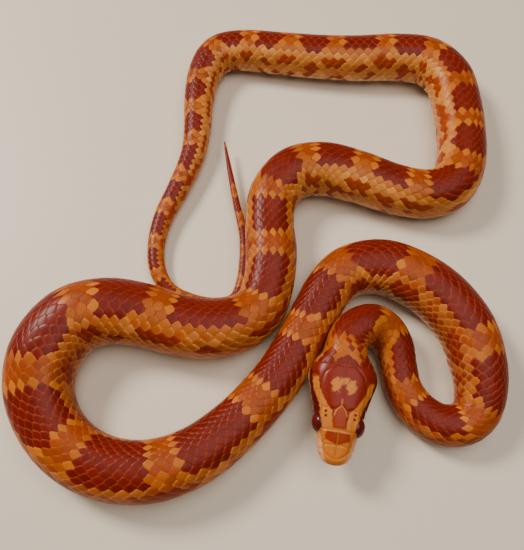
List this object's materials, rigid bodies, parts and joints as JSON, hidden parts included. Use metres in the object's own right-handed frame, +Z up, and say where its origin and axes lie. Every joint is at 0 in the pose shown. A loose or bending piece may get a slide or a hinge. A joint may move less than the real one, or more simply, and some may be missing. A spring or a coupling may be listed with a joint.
{
  "type": "corn snake",
  "caption": "Life-size corn snake lying in loose coils on a floor, head and neck resting beside its own body, with dark red saddles on orange and the tail tip just lifted.",
  "frame": {"origin": "on the floor, under the middle of the box around the coils", "axes": "+Z up from the floor. +Y runs from the near coils, where the head lies, to the far ones, and is the longest extent. +X is to the right of someone looking along +Y. The head points along -Y."},
  "size_m": [0.1618, 0.1758, 0.0198],
  "materials": {
    "skin": "satin",
    "head_skin": "satin",
    "jaw_skin": "satin",
    "eye": "gloss"
  },
  "bodies": {
    "root": {"head": "head_skin", "lower_jaw": "jaw_skin", "eye_left": "eye", "eye_right": "eye", "neck_1": "skin", "neck_2": "skin", "body_01": "skin", "body_02": "skin", "body_03": "skin", "body_04": "skin", "body_05": "skin", "body_06": "skin", "body_07": "skin", "body_08": "skin", "body_09": "skin", "body_10": "skin", "body_11": "skin", "body_12": "skin", "body_13": "skin", "tail_1": "skin", "tail_2": "skin", "tail_tip": "skin"}
  },
  "joints": []
}
